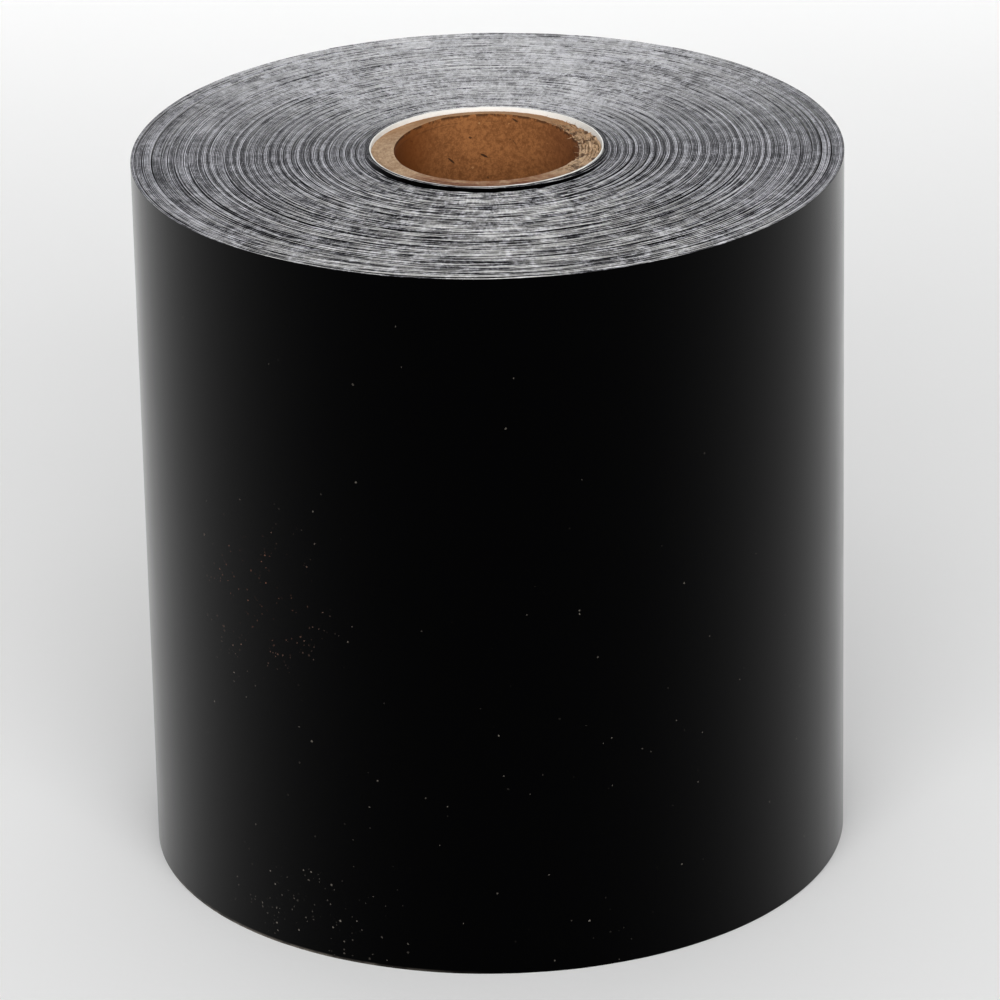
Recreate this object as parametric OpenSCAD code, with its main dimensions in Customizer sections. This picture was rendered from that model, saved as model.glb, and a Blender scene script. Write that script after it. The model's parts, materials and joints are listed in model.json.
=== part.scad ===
// Roll of self-adhesive sign vinyl on a spiral-wound paper core, standing on end.
// Z runs along the roll's axis, and the origin is the centre of the core's lower end.
// The web is one strip of film, adhesive and liner, wound with the film outwards.
// The wound turns are pressed into one block with the spiral's outline. The first ones
// stand proud of the rest, and the last, unfinished turn is the free end.
// The free end lies at the back of the roll and lifts as a chain of short strips.

/* [Web] */
// Width of the web, which is the height of the standing roll
web_w = 101.6; // [60:0.1:200]
// Thickness of the black film
film_t = 0.07; // [0.05:0.01:0.08]
// Thickness of the adhesive on the film's back
adhesive_t = 0.025; // [0.02:0.005:0.03]
// Thickness of the release liner
liner_t = 0.075; // [0.05:0.005:0.08]
// Distance from one turn to the next
pitch = 0.22; // [0.21:0.01:0.3]
// Full turns wound on the core
turns = 149; // [20:1:170]
// First turns that stand proud of the winding's end
proud_turns = 3; // [1:1:8]
// How far the first turns stand proud
proud_h = 0.6; // [0.2:0.1:2]

/* [Core] */
// Radius of the core's bore
bore_r = 12.7; // [10:0.1:19]
// Thickness of the core's wall
core_wall = 3.175; // [2:0.005:5]
// Thickness of the white double-sided tape round the core, which holds the first turn
start_tape_t = 0.2; // [0.05:0.01:0.3]

/* [Free end] */
// Angle at which the web leaves the roll when its end is lifted
root_a = 15; // [5:1:20]
// Angle of each short strip along the lifting web
strip_a = 12; // [6:1:13]
// Angle of the last strip, where the film can be peeled from the liner
end_a = 30; // [18:1:36]
// Clearance between neighbouring strips, and between the film's lap and the liner
strip_gap = 0.02; // [0.01:0.005:0.04]

/* [Closing tab] */
// Height of the tape that closes the roll
tab_h = 19; // [10:1:40]
// Thickness of that tape
tab_t = 0.1; // [0.05:0.01:0.15]
// Angle of the tape's half on the film
tab_film_a = 8; // [4:1:9]
// Angle of the tape's half on the roll
tab_roll_a = 10; // [4:1:20]

/* [Hidden] */
$fn = 96;

// Core
ply_count = 7;
ply_t = core_wall / ply_count;
core_r = bore_r + core_wall;

// Winding
web_t = film_t + adhesive_t + liner_t;
first_r = core_r + start_tape_t;

// Inner radius of turn number k, where it crosses the +X axis
function turn_r(k) = first_r + k * pitch;

// Free end, which lies on the outermost full turn
tail_r = turn_r(turns);
liner_r = tail_r + liner_t;
tail_out_r = tail_r + web_t;
strip_count = 6;
lap_count = 3;
lap_a = end_a / lap_count;
gap_a = strip_gap / tail_out_r * 180 / PI;
end_start_a = root_a + strip_count * strip_a;
tail_end_a = end_start_a + end_a;

// Closing tab
tab_z = (web_w - tab_h) / 2;
tab_roll_r = tail_r;
tab_riser_a = tab_t / tail_out_r * 180 / PI;

// Curved strip round the axis, from angle a0 to a1, standing on z
module strip(inner_r, t, a0, a1, z, h) {
    rotate([0, 0, a0])
        rotate_extrude(angle = a1 - a0)
            translate([inner_r, z])
                square([t, h]);
}

// Half of the wound turns from number k0 to k1, pressed together, on the +Y side (side 1)
// or the -Y side (side -1). The -Y half is centred half a pitch aside, so that each half
// runs smoothly into the next one out.
module half_turns(k0, k1, side) {
    reach = tail_out_r + 5;
    aside = side > 0 ? 0 : pitch / 2;
    intersection() {
        translate([aside, 0])
            difference() {
                circle(r = turn_r(k1) + web_t + aside);
                circle(r = turn_r(k0) + aside);
            }
        translate([-reach, side > 0 ? 0 : -reach])
            square([2 * reach, reach]);
    }
}

module wound_turns(k0, k1) {
    half_turns(k0, k1, 1);
    half_turns(k0, k1, -1);
}

// Start of the outermost layer, up to the line where the free end lifts
module tail_root() {
    reach = tail_out_r + 5;
    root_end_a = root_a - gap_a / 2;
    intersection() {
        half_turns(turns, turns, 1);
        polygon([[0, 0], [reach, 0], reach * [cos(root_end_a), sin(root_end_a)]]);
    }
}

module core_ply(n) {
    color("burlywood")
        linear_extrude(web_w)
            difference() {
                circle(r = bore_r + n * ply_t);
                circle(r = bore_r + (n - 1) * ply_t);
            }
}

// The tape stands proud with the first turns, which hold it
module core_start_tape() {
    color("ivory")
        translate([0, 0, proud_h])
            linear_extrude(web_w)
                difference() {
                    circle(r = first_r);
                    circle(r = core_r);
                }
}

module vinyl_web() {
    color("#161616") {
        translate([0, 0, proud_h])
            linear_extrude(web_w)
                wound_turns(0, proud_turns - 1);
        linear_extrude(web_w) {
            wound_turns(proud_turns, turns - 1);
            tail_root();
        }
    }
}

// Short strip number n of the free end, with film, adhesive and liner together
module tail_web(n) {
    a0 = root_a + (n - 1) * strip_a;
    color("#1c1c1c")
        strip(tail_r, web_t, a0 + gap_a / 2, a0 + strip_a - gap_a / 2, 0, web_w);
}

module tail_liner() {
    color("white")
        strip(tail_r, liner_t, end_start_a + gap_a / 2, tail_end_a, 0, web_w);
}

// Lap number n of the film with its adhesive, in the last strip, where it peels
module film_lap(n) {
    a0 = end_start_a + (n - 1) * lap_a + gap_a / 2;
    a1 = end_start_a + n * lap_a - (n < lap_count ? gap_a / 2 : 0);
    color("#1c1c1c")
        strip(liner_r + strip_gap / 2, tail_out_r - liner_r - strip_gap / 2, a0, a1, 0, web_w);
}

module closing_tab_anchor() {
    color("khaki")
        strip(tail_out_r, tab_t, tail_end_a - tab_film_a, tail_end_a - gap_a / 2, tab_z, tab_h);
}

// The tab's free half steps down past the film's edge and lies on the roll
module closing_tab_grip() {
    a0 = tail_end_a + gap_a / 2;
    riser_end_a = a0 + tab_riser_a;
    color("khaki") {
        strip(tab_roll_r, tail_out_r + tab_t - tab_roll_r, a0, riser_end_a, tab_z, tab_h);
        strip(tab_roll_r, tab_t, a0, riser_end_a + tab_roll_a, tab_z, tab_h);
    }
}

core_ply(1);  // core_inner_ply
core_ply(2);  // core_ply_2
core_ply(3);  // core_ply_3
core_ply(4);  // core_ply_4
core_ply(5);  // core_ply_5
core_ply(6);  // core_ply_6
core_ply(ply_count);  // core_outer_ply
core_start_tape();
vinyl_web();
tail_web(1);  // tail_web_1
tail_web(2);  // tail_web_2
tail_web(3);  // tail_web_3
tail_web(4);  // tail_web_4
tail_web(5);  // tail_web_5
tail_web(strip_count);  // tail_web_6
tail_liner();
film_lap(1);  // film_lap_1
film_lap(2);  // film_lap_2
film_lap(lap_count);  // film_lap_3
closing_tab_anchor();
closing_tab_grip();
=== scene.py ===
"""Looks of a roll of black sign vinyl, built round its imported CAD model.

The web is one strip. Any place along it is given by its turn number: the whole part counts full turns
from the core, and the fraction is the angle round the axis. Lengths are in metres, or in millimetres
where they are multiplied by MM later. Angles whose names end in _A are in degrees: 0 is the right,
90 the back, 180 the left and 270 the front.
"""

import json
import math

import bpy
import numpy as np
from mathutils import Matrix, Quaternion, Vector


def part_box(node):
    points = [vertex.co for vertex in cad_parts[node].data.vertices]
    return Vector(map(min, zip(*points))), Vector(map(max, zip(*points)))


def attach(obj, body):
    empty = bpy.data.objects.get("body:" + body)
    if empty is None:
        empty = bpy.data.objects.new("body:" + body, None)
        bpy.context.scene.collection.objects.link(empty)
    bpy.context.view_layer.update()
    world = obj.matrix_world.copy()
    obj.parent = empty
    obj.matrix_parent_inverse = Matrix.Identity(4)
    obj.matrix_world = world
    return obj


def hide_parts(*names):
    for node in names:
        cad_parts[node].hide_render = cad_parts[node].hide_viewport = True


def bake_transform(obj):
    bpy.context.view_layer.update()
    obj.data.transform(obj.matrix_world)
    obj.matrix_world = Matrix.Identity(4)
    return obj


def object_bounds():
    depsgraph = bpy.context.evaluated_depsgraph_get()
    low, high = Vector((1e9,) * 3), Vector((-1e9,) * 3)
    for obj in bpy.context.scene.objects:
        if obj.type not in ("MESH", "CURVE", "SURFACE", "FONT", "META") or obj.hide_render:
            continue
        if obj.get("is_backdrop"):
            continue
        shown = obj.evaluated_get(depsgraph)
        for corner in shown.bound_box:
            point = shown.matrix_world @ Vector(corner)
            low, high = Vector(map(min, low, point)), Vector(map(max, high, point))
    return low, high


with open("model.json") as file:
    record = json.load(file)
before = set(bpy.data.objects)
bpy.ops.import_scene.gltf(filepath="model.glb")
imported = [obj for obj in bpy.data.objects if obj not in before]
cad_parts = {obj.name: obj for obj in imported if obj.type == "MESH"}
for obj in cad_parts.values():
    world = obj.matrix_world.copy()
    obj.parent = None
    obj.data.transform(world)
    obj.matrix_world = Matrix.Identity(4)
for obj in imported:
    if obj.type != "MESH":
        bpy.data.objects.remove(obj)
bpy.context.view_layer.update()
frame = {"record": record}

MM = 0.001

# ---------------------------------------------------------------- sizes

BORE_R = frame["record"]["mounts"][0]["dims"]["r_mm"] * MM
CORE_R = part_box("core_outer_ply")[1][0]
FIRST_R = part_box("core_start_tape")[1][0]
WEB_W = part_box("tail_liner")[1][2]
PROUD_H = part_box("core_start_tape")[0][2]

PITCH = 0.22 * MM
FILM_T = 0.07 * MM
ADHESIVE_T = 0.025 * MM
LINER_T = 0.075 * MM
WEB_T = FILM_T + ADHESIVE_T + LINER_T
TURNS = 149
PROUD_TURNS = 3

PLY_COUNT = 7
PLY_T = (CORE_R - BORE_R) / PLY_COUNT

FRONT_A = 270

# The free end's hinges, as in the CAD model: STRIPS of them where it lifts, then LAPS where the film peels.
ROOT_A = 15.0
STRIP_A = 12.0
STRIPS = 6
LAPS = 3
LAP_A = 10.0
PEEL_A = ROOT_A + STRIPS * STRIP_A
END_A = PEEL_A + LAPS * LAP_A
TAIL_R = FIRST_R + TURNS * PITCH
TAIL_OUT_R = TAIL_R + WEB_T

TAB_H = 19 * MM
TAB_T = 0.1 * MM
TAB_FILM_A = 8.0
TAB_ROLL_A = 10.0

rng = np.random.default_rng(41)


# ---------------------------------------------------------------- noise

def smooth(t):
    """Smooth step from 0 to 1 as t goes from 0 to 1."""
    return t * t * (3 - 2 * t)


def eased(values, at):
    """Values at whole numbers, joined by smooth steps and read at the places given."""
    at = np.clip(at, 0, len(values) - 1.001)
    i = at.astype(int)
    f = smooth(at - i)
    return values[i] * (1 - f) + values[i + 1] * f


def run_noise(count, every):
    """Smooth noise along a line, with a new random value at each step of the given number of samples."""
    knots = rng.normal(size=int(count / every) + 3)
    return eased(knots, np.arange(count) / every)


def ring_noise(count, knots):
    """Smooth noise round a circle."""
    values = rng.normal(size=knots)
    values = np.append(values, values[:2])
    return eased(values, np.arange(count) * knots / count)


def banded_noise(count, period, hold):
    """One value for each turn, which rises and falls about once in the given number of turns."""
    out = np.zeros(count + 2)
    push = rng.normal(size=count + 2)
    swing = 2 * hold * math.cos(2 * math.pi / period)
    for k in range(2, count + 2):
        out[k] = swing * out[k - 1] - hold * hold * out[k - 2] + push[k]
    return out[2:] / out.std()


def window(angle, centre, half_width):
    """1 near the centre angle, 0 beyond the half width, in degrees, smooth between."""
    away = np.abs((angle - centre + 180) % 360 - 180)
    return smooth(np.clip(1 - away / half_width, 0, 1))


# ---------------------------------------------------------------- how the cut edges lie

PER_TURN = 240
ALL_TURNS = TURNS + 1
SAMPLES = ALL_TURNS * PER_TURN + 1
turn_axis = np.arange(SAMPLES) / PER_TURN
angle_axis = turn_axis * 360

# Bands of turns come back about every so many turns, and keep this share of their strength from one turn
# to the next.
BAND_TURNS = 4.6
BAND_HOLD = 0.9
# An edge's unevenness stays between these, in mm outwards from the end face.
EDGE_LIMITS = (-0.36, 0.12)
# One turn of the liner stands up, as a pale arc at the left; its paleness is a painted highlight.
LIFTED_TURN = 99 + 168 / 360
LIFTED_HALF_A = 32
LIFTED_H = 0.14 * MM
# Bunches are this many turns thick, and each of their turns lies up to this much closer than the pitch.
BUNCH_TURNS = (2.2, 6.5)
BUNCH_CREEP = 0.037 * MM


def proud(turn):
    """Height by which the first turns stand proud. The last of them drops over a third of a turn."""
    past = np.clip((turn - PROUD_TURNS + 0.25) / 0.35, 0, 1)
    return PROUD_H * (1 - smooth(past))


def arcs(count, turns, half_a, size):
    """Arcs where neighbouring turns lie lower or higher than the rest: one value per sample. The last three
    hold the least and the most number of turns, half length in degrees, and size in mm."""
    out = np.zeros(SAMPLES)
    for _ in range(count):
        first = rng.uniform(PROUD_TURNS + 1, TURNS - 1)
        thick = rng.integers(turns[0], turns[1] + 1)
        middle, half = rng.uniform(0, 360), rng.uniform(*half_a)
        high = rng.uniform(*size)
        near = window((turn_axis - first) * 360, middle, half)
        for k in range(thick):
            centre = math.floor(first) + k + middle / 360
            this_turn = (turn_axis >= centre - 0.5) & (turn_axis < centre + 0.5)
            out += np.where(this_turn, near * high, 0)
    return out


def edge_heights():
    """Unevenness of one cut end of the roll, sampled along the web: (film, liner). It is in bands of turns,
    in long and short waves, in single lines and in fine roughness, calmer at the front. Numbers are mm."""
    bands = eased(banded_noise(ALL_TURNS + 2, BAND_TURNS, BAND_HOLD), turn_axis)
    drift = run_noise(SAMPLES, PER_TURN * 5)
    together = 0.028 * bands + 0.024 * drift + 0.026 * run_noise(SAMPLES, PER_TURN / 3)
    together += 0.018 * run_noise(SAMPLES, PER_TURN / 14)
    together *= 1 - 0.6 * window(angle_axis, FRONT_A, 75)
    lines = arcs(40, turns=(1, 1), half_a=(30, 150), size=(0.04, 0.10))
    lines -= arcs(90, turns=(1, 1), half_a=(40, 170), size=(0.06, 0.22))
    lines -= arcs(40, turns=(2, 3), half_a=(20, 120), size=(0.05, 0.14))
    together += lines * (1 - 0.45 * window(angle_axis, FRONT_A, 60))
    film = together + 0.016 * run_noise(SAMPLES, PER_TURN / 60) - 0.012
    liner = together + 0.026 * run_noise(SAMPLES, PER_TURN / 60) + 0.016 * run_noise(SAMPLES, 2) + 0.008
    return np.clip(film, *EDGE_LIMITS) * MM, np.clip(liner, *EDGE_LIMITS) * MM


def bunched():
    """How far each place on the web lies out from an even spiral: turns cling together in bunches, with a
    wider gap after each bunch."""
    shift = np.zeros(SAMPLES)
    start, end = PROUD_TURNS + 1.0, TURNS - 2.0
    edges = [start]
    while edges[-1] < end - 3:
        edges.append(min(edges[-1] + rng.uniform(*BUNCH_TURNS), end))
    for a, b in zip(edges[:-1], edges[1:]):
        middle = (a + b) / 2
        if a == start:
            middle = a
        elif b >= end - 3:
            middle = b
        # A full circle stands for 100 turns here: they cling most round turn 28 and round turn 128.
        place = 3.6 * a
        tight = max(window(place, 90, 95), window(place, 470, 160)) * rng.uniform(0.6, 1.0)
        inside = (turn_axis >= a) & (turn_axis < b)
        shift[inside] = (middle - turn_axis[inside]) * BUNCH_CREEP * max(tight, rng.uniform(0.1, 0.5))
    blur = np.ones(PER_TURN // 4) / (PER_TURN // 4)
    return np.convolve(shift, blur, "same")


def along(values, turn):
    """Reads a run of samples at turn numbers."""
    return np.interp(turn, turn_axis, values)


top_film, top_liner = edge_heights()
low_film, low_liner = edge_heights()
spread = bunched()
tone_bands = eased(banded_noise(ALL_TURNS + 2, BAND_TURNS, BAND_HOLD), turn_axis)
tone = np.clip(0.5 + 0.34 * tone_bands + 0.12 * run_noise(SAMPLES, PER_TURN / 4), 0, 1)
raised_and_highlit = window((turn_axis - LIFTED_TURN) * 360, 0, LIFTED_HALF_A) * (np.abs(turn_axis - LIFTED_TURN) < 0.5)
top_liner = top_liner + LIFTED_H * raised_and_highlit
# The lifted turn takes the highest tone: a painted highlight along it.
tone = np.maximum(tone, raised_and_highlit)


# ---------------------------------------------------------------- meshes

# Faces that meet at a steeper angle than this show an edge between them.
SHARP_A = 38


def new_mesh(name, points, faces, slots, materials, tones=None):
    """A mesh object from arrays of points, four-cornered faces and each face's material. tones, one number
    for each point, become its attribute tone."""
    mesh = bpy.data.meshes.new(name)
    mesh.vertices.add(len(points))
    mesh.vertices.foreach_set("co", np.asarray(points, np.float32).ravel())
    mesh.loops.add(4 * len(faces))
    mesh.loops.foreach_set("vertex_index", np.asarray(faces, np.int32).ravel())
    mesh.polygons.add(len(faces))
    mesh.polygons.foreach_set("loop_start", np.arange(0, 4 * len(faces), 4, dtype=np.int32))
    mesh.polygons.foreach_set("material_index", np.asarray(slots, np.int32))
    mesh.update(calc_edges=True)
    mesh.validate()
    for m in materials:
        mesh.materials.append(m)
    if tones is not None:
        layer = mesh.attributes.new("tone", "FLOAT", "POINT")
        layer.data.foreach_set("value", np.asarray(tones, np.float32).ravel())
    mesh.polygons.foreach_set("use_smooth", np.ones(len(faces), bool))
    mesh.set_sharp_from_angle(angle=math.radians(SHARP_A))
    piece = bpy.data.objects.new(name, mesh)
    bpy.context.scene.collection.objects.link(piece)
    return piece


def strip_faces(stations, rows, first, side_slots):
    """Faces of a strip swept through stations of 2 * rows points: the inner wall from the bottom up,
    then the outer wall from the top down. side_slots are for the inner wall, top, outer wall and bottom."""
    c = 2 * rows
    spans = stations - 1
    i = np.repeat(np.arange(spans), c)
    j = np.tile(np.arange(c), spans)
    ni, nj = i + 1, (j + 1) % c
    faces = np.stack([i * c + j, i * c + nj, ni * c + nj, ni * c + j], 1)
    inner, top, outer, low = side_slots
    per_side = np.array([inner] * (rows - 1) + [top] + [outer] * (rows - 1) + [low])
    slots = np.tile(per_side, spans)
    r = np.arange(rows - 1)
    cap = np.stack([r, r + 1, c - 2 - r, c - 1 - r], 1)
    faces = np.vstack([faces, cap[:, ::-1], cap + spans * c])
    slots = np.append(slots, np.full(2 * (rows - 1), top))
    return faces + first, slots


def ring_faces(stations, count, side_slots):
    """Faces of a closed cross-section of this many points, swept through a closed ring of stations.
    side_slots holds one material for each side of the cross-section."""
    i = np.repeat(np.arange(stations), count)
    j = np.tile(np.arange(count), stations)
    ni, nj = (i + 1) % stations, (j + 1) % count
    faces = np.stack([i * count + j, i * count + nj, ni * count + nj, ni * count + j], 1)
    return faces, np.tile(np.asarray(side_slots), stations)


def spiral_xy(turn, out):
    """Points along the web, this far out from its inner face. Each turn is two half circles, whose
    centres lie half a pitch apart, so that it runs into the next turn."""
    k = np.floor(turn + 1e-9)
    a = (turn - k) * 2 * math.pi
    far = (a >= math.pi - 1e-9).astype(float) * PITCH / 2
    r = FIRST_R + k * PITCH + far + out + along(spread, turn)
    return np.stack([far + r * np.cos(a), r * np.sin(a)], -1)


def layer_ends(turn, film):
    """Lowest and highest points of a layer along the web."""
    low = along(low_film if film else low_liner, turn)
    top = along(top_film if film else top_liner, turn)
    lift = proud(turn)
    return np.maximum(lift - low, 0), WEB_W + lift + top


def layer_points(turn, film):
    """Points of one layer of the web: four for each station, up the inner face and down the outer one."""
    inner, outer = (LINER_T, WEB_T) if film else (0.0, LINER_T)
    low, top = layer_ends(turn, film)
    corners = ((inner, low), (inner, top), (outer, top), (outer, low))
    return np.stack([np.column_stack([spiral_xy(turn, out), z]) for out, z in corners], 1).reshape(-1, 3)


def web_piece(name, start, end, layers, materials, per_turn=PER_TURN):
    """A piece from one turn number to another. layers holds, for each layer, whether it is film, and the
    materials of its inner wall, top, outer wall and bottom."""
    turn = np.linspace(start, end, max(int(round((end - start) * per_turn)), 2) + 1)
    points, faces, slots = [], [], []
    for n, (film, side_slots) in enumerate(layers):
        layer_faces, layer_slots = strip_faces(len(turn), 2, n * 4 * len(turn), side_slots)
        points.append(layer_points(turn, film))
        faces.append(layer_faces)
        slots.append(layer_slots)
    tones = np.tile(np.repeat(along(tone, turn), 4), len(layers))
    return new_mesh(name, np.vstack(points), np.vstack(faces), np.concatenate(slots), materials, tones)


# ---------------------------------------------------------------- materials

# A noise's scale is per metre, or 1 where its coordinates are scaled already. A noise lies mostly between
# 0.3 and 0.7, and the limits of a step pick the part of it that shows.

class Shade:
    """A material's nodes, made one after another. A value is a number, a vector, a colour or the output of
    another node."""

    def __init__(self, name, **sockets):
        self.material = bpy.data.materials.new(name)
        self.material.use_nodes = True
        self.tree = self.material.node_tree
        self.shader = self.tree.nodes["Principled BSDF"]
        for socket, value in sockets.items():
            self.shader.inputs[socket.replace("_", " ")].default_value = value
        self.place = self.node("ShaderNodeTexCoord").outputs["Object"]

    def node(self, kind, **settings):
        made = self.tree.nodes.new(kind)
        for key, value in settings.items():
            setattr(made, key, value)
        return made

    def feed(self, socket, value):
        if hasattr(value, "is_output"):
            self.tree.links.new(value, socket)
        elif hasattr(socket.default_value, "__len__") and not hasattr(value, "__len__"):
            socket.default_value = [value] * len(socket.default_value)
        else:
            socket.default_value = value

    def set(self, socket, value):
        self.feed(self.shader.inputs[socket], value)

    def math(self, operation, a, b=0.0, clamp=False):
        made = self.node("ShaderNodeMath", operation=operation, use_clamp=clamp)
        self.feed(made.inputs[0], a)
        self.feed(made.inputs[1], b)
        return made.outputs[0]

    def plus(self, a, b):
        return self.math("ADD", a, b)

    def minus(self, a, b):
        return self.math("SUBTRACT", a, b)

    def times(self, a, b):
        return self.math("MULTIPLY", a, b)

    def weighted(self, *parts):
        """Sum of pairs of value and weight."""
        terms = [self.times(value, weight) for value, weight in parts]
        total = terms[0]
        for term in terms[1:]:
            total = self.plus(total, term)
        return total

    def vector(self, operation, a, b=(0, 0, 0)):
        made = self.node("ShaderNodeVectorMath", operation=operation)
        self.feed(made.inputs[0], a)
        self.feed(made.inputs[1], b)
        return made.outputs["Value" if operation == "LENGTH" else "Vector"]

    def split(self, vector):
        made = self.node("ShaderNodeSeparateXYZ")
        self.feed(made.inputs[0], vector)
        return made.outputs

    def joined(self, x, y, z=0.0):
        made = self.node("ShaderNodeCombineXYZ")
        for socket, value in zip(made.inputs, (x, y, z)):
            self.feed(socket, value)
        return made.outputs[0]

    def noise(self, scale, detail=2.0, roughness=0.5, at=None):
        made = self.node("ShaderNodeTexNoise")
        self.feed(made.inputs["Vector"], at or self.place)
        made.inputs["Scale"].default_value = scale
        made.inputs["Detail"].default_value = detail
        made.inputs["Roughness"].default_value = roughness
        return made.outputs[0]

    def step(self, value, low, high, to_low=0.0, to_high=1.0):
        """Smooth step from to_low to to_high as the value goes from low to high."""
        made = self.node("ShaderNodeMapRange", interpolation_type="SMOOTHSTEP")
        self.feed(made.inputs["Value"], value)
        limits = {"From Min": low, "From Max": high, "To Min": to_low, "To Max": to_high}
        for socket, number in limits.items():
            self.feed(made.inputs[socket], number)
        return made.outputs["Result"]

    def mix(self, share, a, b):
        """Colour that goes from a to b as the share goes from 0 to 1."""
        made = self.node("ShaderNodeMix", data_type="RGBA")
        self.feed(made.inputs[0], share)
        for socket, colour in ((6, a), (7, b)):
            constant = hasattr(colour, "__len__")
            self.feed(made.inputs[socket], (*colour, 1.0) if constant else colour)
        return made.outputs[2]

    def cells(self, scale, at):
        """A random cell pattern: distance from each cell's point, and three random values for the cell."""
        made = self.node("ShaderNodeTexVoronoi")
        self.feed(made.inputs["Vector"], at)
        made.inputs["Scale"].default_value = scale
        apart = self.node("ShaderNodeSeparateColor")
        self.feed(apart.inputs[0], made.outputs["Color"])
        return made.outputs["Distance"], apart.outputs

    def specks(self, scale, size, keep):
        """Ragged dots of about this size in the share keep of a grid's cells, and a random value for each."""
        distance, chance = self.cells(scale, self.place)
        reach = self.times(self.plus(chance[1], 0.3), size * scale / 2)
        ragged = self.times(self.minus(self.noise(5200, 2, 0.7), 0.5), 1.2 * size * scale)
        dot = self.math("LESS_THAN", self.plus(distance, ragged), reach)
        return self.times(dot, self.math("LESS_THAN", chance[0], keep)), chance[2]

    def bump(self, height, depth):
        """Bump whose height of 1 stands this many metres high."""
        made = self.node("ShaderNodeBump")
        made.inputs["Strength"].default_value = 1.0
        made.inputs["Distance"].default_value = depth
        self.feed(made.inputs["Height"], height)
        self.set("Normal", made.outputs["Normal"])

    def flat(self):
        """Place across the axis, with no height."""
        return self.vector("MULTIPLY", self.place, (1, 1, 0))

    def radius(self):
        return self.vector("LENGTH", self.flat())

    def facing(self):
        """Direction from the axis: x is 1 at the right, and y is 1 at the back."""
        return self.split(self.vector("NORMALIZE", self.flat()))

    def polar(self, round_scale, out_scale):
        """Coordinates that run round the axis and outwards: noise in them is drawn out along the turns."""
        unit = self.vector("NORMALIZE", self.flat())
        around = self.vector("MULTIPLY", unit, (round_scale, round_scale, 0))
        return self.vector("ADD", around, self.joined(0.0, 0.0, self.times(self.radius(), out_scale)))

    def near(self, centre, reach, full):
        """1 within the distance full of a place, 0 beyond reach."""
        return self.step(self.vector("LENGTH", self.vector("SUBTRACT", self.place, centre)), reach, full)

    def tone(self):
        return self.node("ShaderNodeAttribute", attribute_name="tone").outputs["Fac"]


def shaded(colour, share):
    return tuple(c * share for c in colour)


# The film's black, the dust on it, and the places of its two clusters: a red smudge and a scuff.
BLACK_FILM = (0.0005, 0.0005, 0.0006)
# The grey also colours a painted reflection along the film's foot.
GREY_DUST_AND_REFLECTION, RED_DUST = (0.17, 0.152, 0.130), (0.17, 0.075, 0.048)
RED_SMUDGE = (-0.032, -0.037, 0.052)
LOW_SCUFF = (-0.027, -0.041, 0.003)
CLUSTER_REACH, CLUSTER_FULL = 0.017, 0.005


def film_face():
    """Satin black film, nearly without shine face on. Dust lies on it, more of it low down and in two
    clusters, and a painted reflection of the floor's light lines its lower edge on the left."""
    m = Shade("film_face", IOR=1.3, Specular_Tint=(0.02, 0.02, 0.02, 1))
    x, _, z = m.split(m.place)[:3]
    m.set("Roughness", m.step(m.noise(60, 3, 0.6), 0.3, 0.7, 0.13, 0.19))
    patchy = m.step(m.noise(260, 2, 0.6), 0.44, 0.60)
    smudge = m.near(RED_SMUDGE, CLUSTER_REACH, CLUSTER_FULL)
    scuffed = m.near(LOW_SCUFF, CLUSTER_REACH, CLUSTER_FULL)
    # The share of places that hold a speck: from 0.4% high up to 3.5% at the foot, and more in a cluster.
    lower = m.step(z, 0.085, 0.0, 0.004, 0.035)
    likely = m.plus(lower, m.times(patchy, m.weighted((smudge, 1.5), (scuffed, 1.3))))
    fine, shade = m.specks(1700, 0.24 * MM, likely)
    coarse, coarse_shade = m.specks(420, 0.32 * MM, m.times(likely, 0.5))
    fine = m.times(fine, m.math("POWER", shade, 2.5))
    dust_and_reflection = m.math("MAXIMUM", fine, m.times(coarse, coarse_shade), clamp=True)
    # Painted reflection: a pale tan line of the floor's light along the film's lower edge on the left.
    floor_reflection_band = m.times(m.step(z, 0.45 * MM, 0.1 * MM), m.step(x, 0.0, -0.028))
    painted_floor_reflection = m.times(floor_reflection_band, m.step(m.noise(300, 3, 0.6), 0.40, 0.60, 0.25, 0.9))
    dust_and_reflection = m.math("MAXIMUM", dust_and_reflection, painted_floor_reflection)
    m.set("Base Color", m.mix(m.times(dust_and_reflection, 0.8), BLACK_FILM, m.mix(smudge, GREY_DUST_AND_REFLECTION, RED_DUST)))
    m.bump(m.plus(m.noise(1600, 2, 0.5), m.times(m.noise(240, 2, 0.5), 2.0)), 0.0000012)
    return m.material


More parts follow.
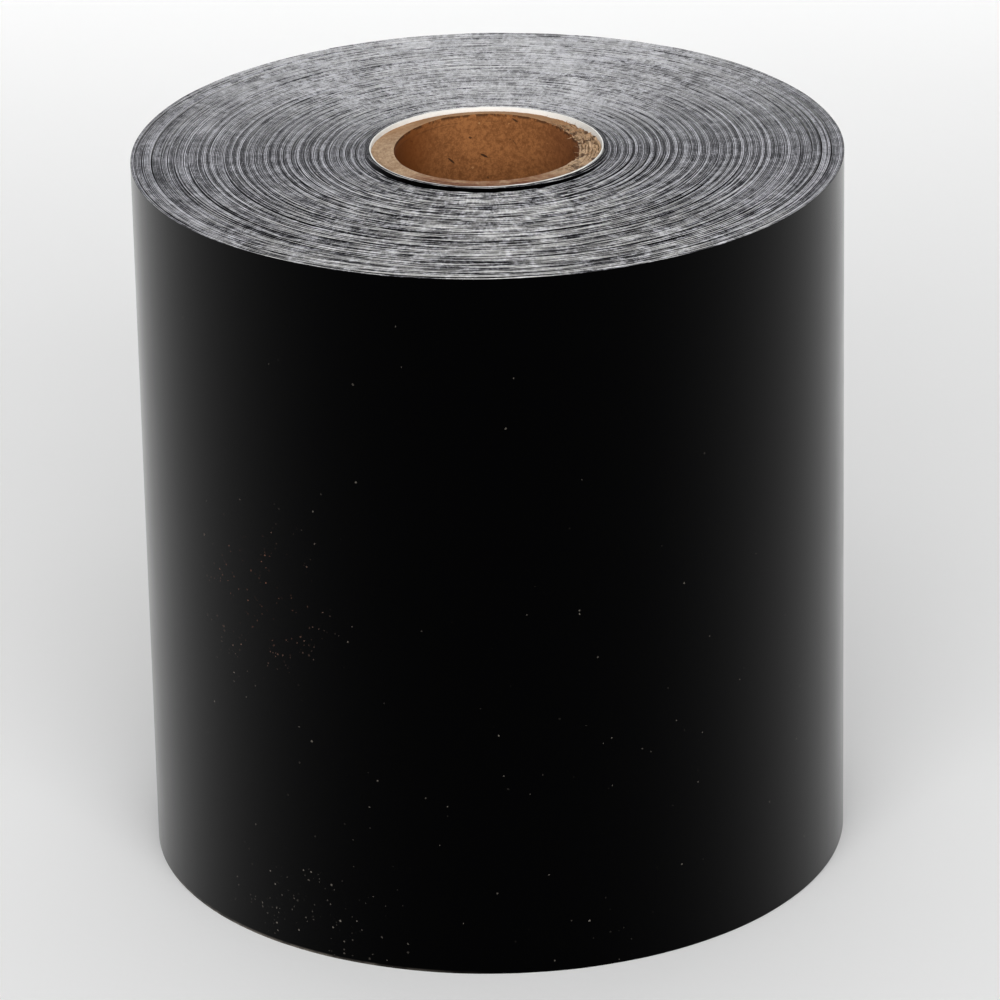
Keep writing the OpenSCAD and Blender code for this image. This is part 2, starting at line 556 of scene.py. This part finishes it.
def cut_edge(name, low, high, dark, light):
    """The cut edge of one layer. The knife has crushed the layers together, so film and liner share their
    light and dark patches, and the edge is drawn out along the turns."""
    m = Shade(name, Roughness=0.6, IOR=1.18)
    right, back = m.facing()[:2]
    sides = m.step(m.math("ABSOLUTE", right), 0.35, 0.95)
    broad = m.noise(75, 2, 0.5)
    coarse = m.noise(1.0, 2, 0.5, at=m.polar(24, 560))
    middle = m.noise(1.0, 2, 0.5, at=m.polar(70, 1300))
    fine = m.noise(1.0, 2, 0.6, at=m.polar(240, 4600))
    patch = m.weighted((coarse, 0.42), (middle, 0.46), (fine, 0.28), (broad, 0.20))
    average = 0.68
    # Painted light: patches are strongest at the back, where the cut edges catch the light, and weakest at
    # the sides.
    painted_light_contrast = m.step(back, 0.45, 0.95, m.minus(1.0, m.times(sides, 0.66)), 1.5)
    patch = m.times(m.minus(patch, average), painted_light_contrast)
    # Bands of lighter and darker turns show everywhere but at the front.
    banding = m.step(back, -0.95, -0.40, 0.02, 0.11)
    patch = m.plus(patch, m.times(m.minus(m.tone(), 0.5), banding))
    # Painted shade: the sides and the front are a little darker, where less light catches the cut edges.
    #     The ring of proud turns is a little darker too.
    shade = m.plus(m.times(sides, 0.025), m.step(back, -0.5, -0.95, 0.0, 0.055))
    patch = m.minus(m.plus(patch, 0.5), shade)
    ring_end = FIRST_R + PROUD_TURNS * PITCH
    patch = m.plus(patch, m.step(m.radius(), ring_end, ring_end + 0.5 * PITCH, -0.08, 0.0))
    m.set("Base Color", m.mix(m.step(patch, low, high), dark, light))
    m.bump(m.noise(1.0, 2, 0.6, at=m.polar(300, 16000)), 0.00003)
    return m.material


def paper(name, light, dark, roughness, fibre=2600):
    """Smooth coated paper: a faint cloudiness and fine fibres that run upwards."""
    m = Shade(name, Roughness=roughness, IOR=1.4)
    cloud = m.noise(220, 3, 0.6)
    fibres = m.noise(fibre, 3, 0.7, at=m.vector("MULTIPLY", m.place, (1, 1, 0.35)))
    m.set("Base Color", m.mix(m.step(m.weighted((cloud, 0.5), (fibres, 0.5)), 0.35, 0.65), dark, light))
    m.bump(fibres, 0.000004)
    return m.material


def adhesive_face():
    m = Shade("adhesive_face", IOR=1.47)
    mottle = m.noise(900, 3, 0.6)
    m.set("Base Color", m.mix(m.step(mottle, 0.3, 0.7), (0.010, 0.010, 0.011), (0.026, 0.026, 0.028)))
    m.set("Roughness", m.step(m.noise(150, 2, 0.5), 0.3, 0.7, 0.16, 0.30))
    m.bump(mottle, 0.000003)
    return m.material


def helix_seam(m, turn, z):
    """1 on the line where two turns of the bore's paper strip meet."""
    strip_rise, first_meeting = 0.062, 0.27
    helix = m.minus(m.math("DIVIDE", z, strip_rise), m.plus(turn, first_meeting))
    away = m.math("ABSOLUTE", m.minus(m.math("FRACT", helix), 0.5))
    return m.step(away, 0.0020, 0.0050, 1.0, 0.0)


def splinters(m, round_m, z):
    """Short slanted dark slivers, in a share of the cells of a grid that is drawn out along them."""
    slant, cells_along, cells_across, share = 0.55, 210, 700, 0.42
    lengthwise = m.times(m.plus(round_m, m.times(z, slant)), cells_along)
    across = m.times(m.minus(z, m.times(round_m, slant)), cells_across)
    distance, chance = m.cells(1.0, m.joined(lengthwise, across))
    return m.times(m.step(distance, 0.08, 0.15, 1.0, 0.0), m.math("LESS_THAN", chance[0], share))


# Dark slanted marks in the bore's paper: angle round it, mm below the top, slant, half length, half width,
# strength.
NICKS = (
    (91.5, 5.43, 30, 0.64, 0.17, 0.95),
    (112.8, 5.72, 44, 0.72, 0.15, 0.90),
    (72.0, 3.36, 50, 0.45, 0.09, 0.45),
    (100.0, 2.67, 20, 0.26, 0.16, 0.75),
    (128.0, 3.3, 35, 0.30, 0.10, 0.5),
)


def nick(m, round_m, z, rough, centre, depth, slant, long, wide, strength):
    """A ragged slanted oval at one place in the bore."""
    u = m.minus(round_m, BORE_R * math.radians(centre))
    v = m.minus(z, WEB_W - depth * MM)
    c, s = math.cos(math.radians(slant)), math.sin(math.radians(slant))
    lengthwise = m.weighted((u, c / (long * MM)), (v, s / (long * MM)))
    across = m.weighted((v, c / (wide * MM)), (u, -s / (wide * MM)))
    reach = m.plus(m.times(lengthwise, lengthwise), m.times(across, across))
    return m.step(m.plus(reach, m.times(rough, 0.8)), 1.0, 1.6, strength, 0.0)


def bore_colour(m, colour, dark, z, turn, seam, rough):
    """The seam, splinters, dark slanted marks, pale flecks, painted shade that darkens and reddens the sides,
    and a painted shadow line just under the rim, with a fainter dark line below it."""
    round_m = m.times(turn, 2 * math.pi * BORE_R)
    colour = m.mix(m.times(seam, 0.30), colour, shaded(dark, 0.25))
    colour = m.mix(m.times(splinters(m, round_m, z), 0.85), colour, shaded(dark, 0.18))
    for place in NICKS:
        colour = m.mix(nick(m, round_m, z, rough, *place), colour, shaded(dark, 0.2))
    pale, pale_shade = m.specks(950, 0.26 * MM, 0.22)
    colour = m.mix(m.times(m.times(pale, pale_shade), 0.5), colour, (0.62, 0.34, 0.15))
    # Painted shade: the bore's side walls are darker and redder, the left one most.
    right = m.facing()[0]
    colour = m.mix(m.step(right, -0.45, -0.90, 0.0, 0.85), colour, (0.19, 0.052, 0.005))
    colour = m.mix(m.step(right, 0.45, 0.95, 0.0, 0.45), colour, (0.215, 0.068, 0.022))
    mm_below_rim = m.tone()
    # Painted shadow: a dark broken line just under the bore's rim.
    rim = m.times(m.step(mm_below_rim, 0.22, 0.60, 1.0, 0.0), m.step(m.noise(620, 3, 0.7), 0.45, 0.53))
    colour = m.mix(m.times(rim, 0.85), colour, (0.060, 0.022, 0.006))
    second = m.step(m.math("ABSOLUTE", m.minus(mm_below_rim, 1.15)), 0.02, 0.12, 1.0, 0.0)
    second = m.times(second, m.step(m.noise(240, 3, 0.6), 0.46, 0.56))
    return m.mix(m.times(second, 0.45), colour, (0.10, 0.036, 0.010))


def browned_colour(m, colour):
    """The core's end: brown at the back, brown with a red stain on its outer plies at the front, and dark
    strokes at the right."""
    right, backward = m.facing()[:2]
    back = m.step(backward, 0.15, 0.75)
    front = m.step(backward, -0.55, -0.90)
    colour = m.mix(m.times(back, 0.75), colour, (0.34, 0.165, 0.065))
    front_brown = m.times(front, m.step(m.noise(700, 2, 0.6), 0.40, 0.60, 0.35, 0.90))
    colour = m.mix(front_brown, colour, (0.24, 0.098, 0.044))
    strokes = m.times(m.step(right, 0.55, 0.9), m.step(m.noise(520, 3, 0.75), 0.53, 0.57))
    colour = m.mix(m.times(strokes, 0.9), colour, (0.055, 0.022, 0.009))
    stained = m.times(m.step(m.radius(), BORE_R + 0.75 * MM, BORE_R + 1.15 * MM), front)
    stained = m.times(stained, m.step(m.noise(600, 2, 0.6), 0.36, 0.56, 0.3, 0.85))
    return m.mix(stained, colour, (0.13, 0.040, 0.020))


def kraft(name, light, dark, flecks=0.35, bore=False, worn=0.0, browned=False):
    """Raw kraft paper: short fibres and small dark flecks."""
    m = Shade(name, Roughness=0.92, IOR=1.35)
    x, y, z = m.split(m.place)[:3]
    cloud = m.noise(180, 2, 0.5)
    fibres = m.noise(1500, 3, 0.7)
    fine = m.noise(4600, 2, 0.7)
    mottle = m.weighted((cloud, 0.18), (fibres, 0.50), (fine, 0.32))
    colour = m.mix(m.step(mottle, 0.38, 0.62), dark, light)
    dots, _ = m.specks(620, 0.32 * MM, flecks * 0.3)
    colour = m.mix(m.times(dots, 0.55), colour, shaded(dark, 0.30))
    height = m.weighted((fibres, 0.6), (fine, 0.4))
    if bore:
        turn = m.math("DIVIDE", m.math("ARCTAN2", y, x), 2 * math.pi)
        seam = helix_seam(m, turn, z)
        colour = bore_colour(m, colour, dark, z, turn, seam, fine)
        height = m.minus(height, m.times(seam, 1.5))
    if browned:
        colour = browned_colour(m, colour)
    if worn:
        scuffs = m.step(m.noise(160, 4, 0.7), 0.52, 0.68)
        colour = m.mix(m.times(scuffs, worn), colour, tuple(min(c * 1.5, 0.8) for c in light))
    m.set("Base Color", colour)
    m.bump(height, 0.00003)
    return m.material


def tape_white():
    m = Shade("tape_white", Roughness=0.75, IOR=1.4)
    cloud = m.noise(700, 3, 0.6)
    fine = m.noise(4000, 2, 0.6)
    mottle = m.step(m.weighted((cloud, 0.6), (fine, 0.4)), 0.35, 0.65)
    m.set("Base Color", m.mix(mottle, (0.88, 0.87, 0.83), (0.95, 0.94, 0.90)))
    m.bump(fine, 0.000004)
    return m.material


def closing_tape():
    m = Shade("closing_tape", Roughness=0.62, IOR=1.42)
    creases = m.noise(1.0, 3, 0.65, at=m.vector("MULTIPLY", m.place, (2600, 2600, 420)))
    cloud = m.noise(300, 2, 0.6)
    mottle = m.step(m.weighted((creases, 0.7), (cloud, 0.3)), 0.35, 0.65)
    m.set("Base Color", m.mix(mottle, (0.50, 0.38, 0.19), (0.72, 0.60, 0.36)))
    m.bump(creases, 0.00002)
    return m.material


FILM_FACE = film_face()
FILM_EDGE = cut_edge("film_edge", 0.43, 0.61, (0.010, 0.010, 0.012), (0.46, 0.46, 0.50))
LINER_EDGE = cut_edge("liner_edge", 0.39, 0.57, (0.07, 0.07, 0.085), (0.84, 0.84, 0.91))
LINER_BACK = paper("liner_back", (0.74, 0.74, 0.75), (0.40, 0.40, 0.41), 0.75, fibre=1500)
RELEASE = paper("release_face", (0.82, 0.815, 0.79), (0.75, 0.745, 0.72), 0.32)
ADHESIVE = adhesive_face()
KRAFT_WALL = kraft("kraft_wall", (0.50, 0.35, 0.21), (0.36, 0.23, 0.12))
KRAFT_BORE = kraft("kraft_bore", (0.350, 0.139, 0.044), (0.180, 0.064, 0.0165), flecks=0.8, bore=True)
KRAFT_EDGE = kraft("kraft_edge", (0.55, 0.385, 0.245), (0.33, 0.205, 0.118), flecks=0.5, worn=0.25,
                   browned=True)
KRAFT_FLAKE = kraft("kraft_flake", (0.58, 0.40, 0.24), (0.36, 0.21, 0.11), flecks=0.3)
TAPE_WHITE, CLOSING_TAPE = tape_white(), closing_tape()


# ---------------------------------------------------------------- the wound web

# The wound turns end, and the free end's first piece starts, a little before its first hinge. Film and liner
# are each split at HALF_WAY.
BEND_BEFORE_A = 6.0
WOUND_END = TURNS + (ROOT_A - BEND_BEFORE_A) / 360
HALF_WAY = 75
film_materials = [ADHESIVE, FILM_EDGE, FILM_FACE]
liner_materials = [LINER_BACK, LINER_EDGE, RELEASE]
both_materials = film_materials + liner_materials
film_layer = (True, (0, 1, 2, 1))
liner_layer = (False, (0, 1, 2, 1))
both_layers = [film_layer, (False, (3, 4, 5, 4))]


def shown(piece, body, node=None):
    """The piece rides on a body and stands for a node, if one is given."""
    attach(piece, body)
    if node:
        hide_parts(node)


for name, start, end, per_turn in (
        ("film_turns_inner", 0, HALF_WAY, PER_TURN),
        ("film_turns_outer", HALF_WAY, TURNS - 1, PER_TURN),
        ("film_last_turn", TURNS - 1, WOUND_END, 3 * PER_TURN)):
    piece = web_piece(name, start, end, [film_layer], film_materials, per_turn)
    shown(piece, "root", "vinyl_web")

for name, start, end in (
        ("liner_turns_inner", 0, HALF_WAY),
        ("liner_turns_outer", HALF_WAY, WOUND_END)):
    piece = web_piece(name, start, end, [liner_layer], liner_materials)
    shown(piece, "root", "vinyl_web")


# ---------------------------------------------------------------- the free end

def tail_piece(name, a0, a1, layers, materials):
    """A piece of the free end between two angles, in finer steps."""
    return web_piece(name, TURNS + a0 / 360, TURNS + a1 / 360, layers, materials, 4 * PER_TURN)


def bent(piece, node):
    """Bakes the piece's place into its points and hides the node that it stands for."""
    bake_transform(piece)
    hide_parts(node)


# The lifting web is cut into pieces round its hinges. Each has a zone round its hinge, wide, and shorter
# for the first and the last, as the web has to leave the roll just before the first hinge, and is stiff
# just after the last; the zones are worked out, but nothing bends the pieces over them. The pieces overlap
# by a hair, so that no gap shows between them.
ZONE_HALF_A = 16.6
END_ZONE_A = 13.469
END_MEET_A = 10.434
LAP_OVER_A = 0.02

for n in range(1, STRIPS + 1):
    hinge_a = ROOT_A + (n - 1) * STRIP_A
    zone_a = [hinge_a - ZONE_HALF_A, hinge_a + ZONE_HALF_A]
    piece_a = [hinge_a - STRIP_A / 2, hinge_a + STRIP_A / 2]
    if n == 1:
        zone_a = [hinge_a - BEND_BEFORE_A, hinge_a + END_ZONE_A]
        piece_a = [hinge_a - BEND_BEFORE_A, hinge_a + END_MEET_A]
    elif n == 2:
        piece_a[0] = hinge_a - STRIP_A + END_MEET_A
    elif n == STRIPS - 1:
        piece_a[1] = hinge_a + STRIP_A - END_MEET_A
    elif n == STRIPS:
        zone_a = [hinge_a - END_ZONE_A, hinge_a + BEND_BEFORE_A]
        piece_a = [hinge_a - END_MEET_A, PEEL_A]
    first_a = piece_a[0] - (LAP_OVER_A if n > 1 else 0)
    last_a = piece_a[1] + (LAP_OVER_A if n < STRIPS else 0)
    piece = tail_piece(f"lifting_web_{n}", first_a, last_a, both_layers, both_materials)
    bent(piece, f"tail_web_{n}")

piece = tail_piece("free_liner_end", PEEL_A, END_A, [liner_layer], liner_materials)
shown(piece, "tail_6", "tail_liner")

# The peeling film is cut into pieces at these angles, and the last one runs on, flat, under the closing
# tape. The first span is the longest, because it can't start before its hinge, where the film leaves the
# liner.
PEEL_BENDS_A = (PEEL_A, PEEL_A + 9.0, PEEL_A + 16.5, END_A - TAB_FILM_A)

for n in range(1, LAPS + 1):
    zone_a = PEEL_BENDS_A[n - 1:n + 1]
    last_a = zone_a[1] if n < LAPS else END_A
    piece = tail_piece(f"peeling_film_{n}", zone_a[0], last_a, [film_layer], film_materials)
    bent(piece, f"film_lap_{n}")


# ---------------------------------------------------------------- the core and the tape round it

AROUND = 720
NECK = 1.4 * MM
ring_angle = np.arange(AROUND) * 360 / AROUND
TORN_A, TORN_HALF_A = 12, 62
torn = window(ring_angle, TORN_A, TORN_HALF_A)
worn_left = window(ring_angle, 175, 70)


def tube(name, radii, z_low, z_top, lean, soft, materials, slots):
    """A paper tube with soft rims. radii, lean and slots are for the inner and the outer wall: lean is how
    far the wall's top moves outwards, above the neck. slots has the rim's material between the walls'."""
    a = np.radians(ring_angle)
    r0, r1 = radii
    t0, t1 = r0 + lean[0], r1 + lean[1]
    near_top, near_low = z_top - 0.25 * soft, z_low + 0.25 * soft
    section = (
        (r0, z_low + soft), (r0, z_top - NECK), (t0, z_top - soft),
        (t0 + 0.4 * soft, near_top), ((t0 + t1) / 2, z_top), (t1 - 0.4 * soft, near_top),
        (t1, z_top - soft), (r1, z_top - NECK), (r1, z_low + soft),
        (r1 - 0.4 * soft, near_low), ((r0 + r1) / 2, z_low), (r0 + 0.4 * soft, near_low),
    )
    r = np.stack([np.broadcast_to(out, AROUND) for out, _ in section], 1)
    z = np.stack([height for _, height in section], 1)
    points = np.stack([r * np.cos(a)[:, None], r * np.sin(a)[:, None], z], -1)
    inner, rim, outer = slots
    sides = [inner] * 2 + [rim] * 4 + [outer] * 2 + [rim] * 4
    faces, face_slots = ring_faces(AROUND, len(section), sides)
    mm_below_top = np.clip(z.max(1)[:, None] - z, 0, 2 * MM) / MM
    return new_mesh(name, points.reshape(-1, 3), faces, face_slots, materials, mm_below_top)


def ply_rims(inner_share):
    """Top, bottom and lean of one ply's rims, in mm: how far the top lies below the web's edge, how far the
    bottom lies above the floor, and how far the top of each wall moves outwards. The core's end rises
    towards the bore, most of all at the back. inner_share is 1 for the inner ply and 0 for the outer one."""
    drop = 0.03 - 0.12 * inner_share + 0.02 * ring_noise(AROUND, 9)
    back_rise = 0.70 * inner_share * window(ring_angle, 92, 125)
    drop -= back_rise * (1 + 0.06 * ring_noise(AROUND, 34))
    drop -= 0.12 * inner_share * window(ring_angle, FRONT_A, 90)
    drop += 0.015 * np.abs(ring_noise(AROUND, 60)) + 0.010 * np.abs(ring_noise(AROUND, 240))
    ragged = 0.22 * np.abs(ring_noise(AROUND, 40)) + 0.20 * np.abs(ring_noise(AROUND, 110))
    drop += torn * (ragged + 0.05 * inner_share)
    drop -= torn * 0.16 * np.maximum(ring_noise(AROUND, 160), 0)
    drop += worn_left * 0.03 * np.abs(ring_noise(AROUND, 70))
    low = 0.02 + 0.04 * np.abs(ring_noise(AROUND, 120)) + 0.06 * inner_share
    pinch = np.minimum(0.001 + 0.045 * torn * np.abs(ring_noise(AROUND, 30)), 0.10)
    shove = 0.10 * torn * ring_noise(AROUND, 70)
    return drop, low, (pinch + np.maximum(shove, 0), -pinch + np.minimum(shove, 0))


PLY_NODES = ["core_inner_ply", *(f"core_ply_{n}" for n in range(2, PLY_COUNT)), "core_outer_ply"]
for n, node in enumerate(PLY_NODES):
    drop, low, lean = ply_rims(1 - n / (PLY_COUNT - 1))
    radii = (BORE_R + n * PLY_T, BORE_R + (n + 1) * PLY_T)
    materials = [KRAFT_WALL if n else KRAFT_BORE, KRAFT_EDGE, KRAFT_WALL]
    piece = tube(node.replace("ply", "paper"), radii, low * MM, WEB_W - drop * MM,
                 (lean[0] * MM, lean[1] * MM), 0.04 * MM, materials, (0, 1, 2))
    shown(piece, "root", node)


def tape_waver():
    """Unevenness of one edge of the tape round the core."""
    return (0.02 * ring_noise(AROUND, 14) + 0.012 * ring_noise(AROUND, 90)) * MM


tape_top = WEB_W + PROUD_H + tape_waver()
tape_low = PROUD_H + tape_waver()
piece = tube("start_tape_ring", (CORE_R, FIRST_R), tape_low, tape_top, (0, 0), 0.03 * MM,
             [TAPE_WHITE], (0, 0, 0))
shown(piece, "root", "core_start_tape")

# The blades' roots lie this far out from the bore and this far below the web's edge, in mm.
ROOT_OUT = (0.1, 3.0)
ROOT_DOWN = (0.05, 0.35)
BLADE_SPANS = 4


def blades(name, count, centre_a, half_a, long, wide, rise, material):
    """Loose paper at the core's torn rim: thin, bent, tapering blades with three sides. long and wide hold
    the least and most length and width in mm, and rise is how steeply the blades stand."""
    points, faces = [], []
    for _ in range(count):
        a = math.radians(centre_a + half_a * float(np.clip(rng.normal() * 0.5, -1, 1)))
        r = BORE_R + float(rng.uniform(*ROOT_OUT)) * MM
        root = Vector((r * math.cos(a), r * math.sin(a), WEB_W - float(rng.uniform(*ROOT_DOWN)) * MM))
        away = Vector((rng.normal(), rng.normal(), abs(rng.normal()) * rise + 0.4 * rise)).normalized()
        bend = Vector((rng.normal(), rng.normal(), -0.5 * rise)) * 0.4
        length = float(rng.uniform(*long)) * MM
        side = away.cross(Vector((0, 0, 1))).normalized()
        width = float(rng.uniform(*wide)) * MM
        first = len(points)
        for k in range(BLADE_SPANS + 1):
            t = k / BLADE_SPANS
            middle = root + (away * t + bend * t * t) * length
            w = width * (1 - 0.75 * t)
            points += [middle - side * w, middle + side * w, middle + side.cross(away) * w * 0.4]
        for k in range(BLADE_SPANS):
            for s in range(3):
                i, j = first + 3 * k + s, first + 3 * k + (s + 1) % 3
                faces.append([i, j, j + 3, i + 3])
    return new_mesh(name, np.array(points), np.array(faces), np.zeros(len(faces), int), [material])


frayed = blades("core_frayed_fibres", count=110, centre_a=TORN_A, half_a=TORN_HALF_A, long=(0.35, 1.1),
                wide=(0.02, 0.06), rise=0.5, material=KRAFT_EDGE)
flakes = blades("core_torn_flakes", count=90, centre_a=4, half_a=46, long=(0.4, 1.0),
                wide=(0.08, 0.20), rise=0.14, material=KRAFT_FLAKE)
for piece in (frayed, flakes):
    shown(piece, "root")


# ---------------------------------------------------------------- the closing tab

TAB_ROWS = 60


def tape_strip(name, path):
    """A strip of creped tape, with uneven long edges, along a path of (angle, inner radius, outer radius)."""
    angle, inner, outer = np.array(path).T[:, :, None]
    a = np.radians(angle)
    z = np.tile(np.linspace(-TAB_H / 2, TAB_H / 2, TAB_ROWS) + WEB_W / 2, (len(path), 1))
    edge = 0.10 * MM * run_noise(len(path), 3)
    z[:, 0] += edge
    z[:, -1] -= np.roll(edge, 5)
    crease = run_noise(len(path), 1.6)[:, None] + 0.6 * rng.normal(size=z.shape)
    outer = outer - np.clip(0.012 * np.abs(crease), 0, 0.035) * MM
    walls = ((np.broadcast_to(inner, z.shape), z), (outer[:, ::-1], z[:, ::-1]))
    points = np.concatenate([np.stack([r * np.cos(a), r * np.sin(a), up], -1) for r, up in walls], 1)
    faces, slots = strip_faces(len(path), TAB_ROWS, 0, (0, 0, 0, 0))
    return new_mesh(name, points.reshape(-1, 3), faces, slots, [CLOSING_TAPE])


film_path = [(a, TAIL_OUT_R, TAIL_OUT_R + TAB_T) for a in np.linspace(END_A - TAB_FILM_A, END_A, 50)]
shown(tape_strip("closing_tape_on_film", film_path), "film_3", "closing_tab_anchor")

# Past the film's end, the tape steps down onto the roll.
RISER_A = 0.75
roll_path = []
for angle in np.linspace(END_A, END_A + TAB_ROLL_A, 64):
    down = smooth(min((angle - END_A) / RISER_A, 1))
    inner = TAIL_OUT_R * (1 - down) + TAIL_R * down
    outer = (TAIL_OUT_R + TAB_T) * (1 - down) + (TAIL_R + TAB_T) * down
    roll_path.append((angle, inner, outer))
shown(tape_strip("closing_tape_on_roll", roll_path), "tab", "closing_tab_grip")


# ---------------------------------------------------------------- floor, light and camera

FLOOR_HALF = 3
FLOOR_Z = -0.01 * MM


def pale_floor():
    m = Shade("pale_floor", Roughness=0.85, IOR=1.3)
    cloud = m.noise(6, 2, 0.5)
    m.set("Base Color", m.mix(m.step(cloud, 0.3, 0.7), (0.905, 0.905, 0.905), (0.92, 0.92, 0.92)))
    m.bump(m.noise(900, 2, 0.6), 0.00002)
    return m.material


# The floor lies a hair below the roll, so that the two never share a plane.
corners = [(x * FLOOR_HALF, y * FLOOR_HALF, 0) for x, y in ((-1, -1), (1, -1), (1, 1), (-1, 1))]
floor = new_mesh("floor", corners, [(0, 1, 2, 3)], [0], [pale_floor()])
floor.location.z = FLOOR_Z
floor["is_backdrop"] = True


def softbox(name, place, aim, size, power):
    lamp = bpy.data.lights.new(name, "AREA")
    lamp.shape = "RECTANGLE"
    lamp.size, lamp.size_y = size
    lamp.energy = power
    made = bpy.data.objects.new(name, lamp)
    made.location = place
    made.rotation_mode = "QUATERNION"
    made.rotation_quaternion = (Vector(aim) - Vector(place)).to_track_quat("-Z", "Y")
    bpy.context.scene.collection.objects.link(made)


# The back softbox brightens the floor behind the roll.
softbox("front_softbox", place=(0, -0.75, 1.05), aim=(0, 0, 0.05), size=(1.3, 0.8), power=4.6)
softbox("front_low_softbox", place=(0, -1.2, 0.6), aim=(0, -0.1, 0), size=(1.5, 0.6), power=15.4)
softbox("top_softbox", place=(0, 0.1, 1.2), aim=(0, 0.1001, 0), size=(1.6, 1.6), power=5.3)
softbox("back_softbox", place=(0, 0.70, 0.26), aim=(0, 0.5, 0), size=(1.6, 0.2), power=4.2)

world = bpy.data.worlds.new("studio")
world.use_nodes = True
background = world.node_tree.nodes["Background"]
background.inputs["Color"].default_value = (1, 1, 1, 1)
background.inputs["Strength"].default_value = 0.015
bpy.context.scene.world = world

# The camera has a long lens. It looks down at the roll from the front, and is rolled slightly.
CAMERA_BACK, CAMERA_UP, CAMERA_ASIDE = 0.8596, 0.4150, 0.0009
CAMERA_DOWN_A, CAMERA_ROLL_A = 23.04, -1.152
camera = bpy.data.objects.new("camera", bpy.data.cameras.new("camera"))
bpy.context.scene.collection.objects.link(camera)
camera.location = (0, -CAMERA_BACK, CAMERA_UP)
aim = Vector((CAMERA_ASIDE, CAMERA_BACK, -CAMERA_BACK * math.tan(math.radians(CAMERA_DOWN_A))))
level = aim.to_track_quat("-Z", "Y")
camera.rotation_mode = "QUATERNION"
camera.rotation_quaternion = level @ Quaternion((0, 0, 1), math.radians(CAMERA_ROLL_A))
camera.data.lens, camera.data.sensor_width = 239.8, 36
camera.data.clip_start, camera.data.clip_end = 0.01, 20
bpy.context.scene.camera = camera
bpy.context.scene.view_settings.view_transform = "Standard"

low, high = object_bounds()
